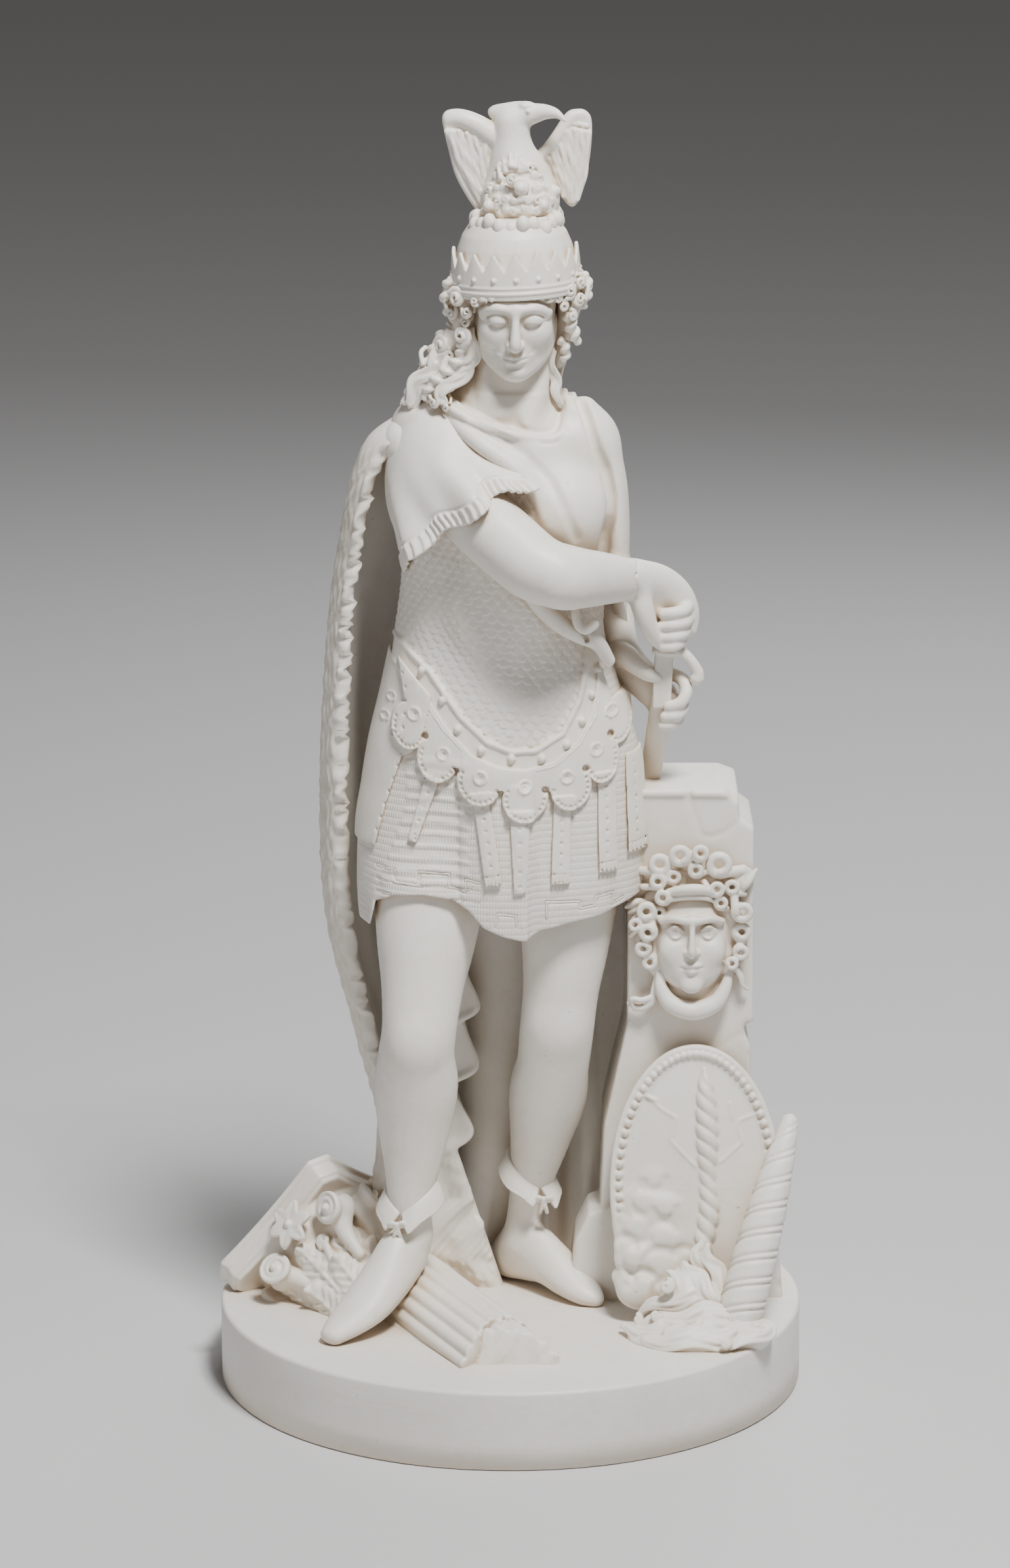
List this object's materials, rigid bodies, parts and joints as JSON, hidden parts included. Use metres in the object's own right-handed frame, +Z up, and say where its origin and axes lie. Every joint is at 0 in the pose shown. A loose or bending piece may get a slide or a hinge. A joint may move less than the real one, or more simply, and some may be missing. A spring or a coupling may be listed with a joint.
{
  "type": "parian figurine",
  "caption": "Unglazed white porcelain statuette of a cloaked warrior leaning on a sword hilt, eagle on the helmet, stele and shield beside, fallen column in front, on a round plinth.",
  "frame": {"origin": "centre of the round plinth's flat underside", "axes": "+Z up, the figure faces -Y, +X to the viewer's right"},
  "size_m": [0.272, 0.27, 0.5945],
  "materials": {
    "parian": "unglazed bisque porcelain, fine satin, warm ivory white with faint grey-brown toning in the recesses"
  },
  "bodies": {
    "root": {"figurine": "parian"}
  },
  "joints": []
}
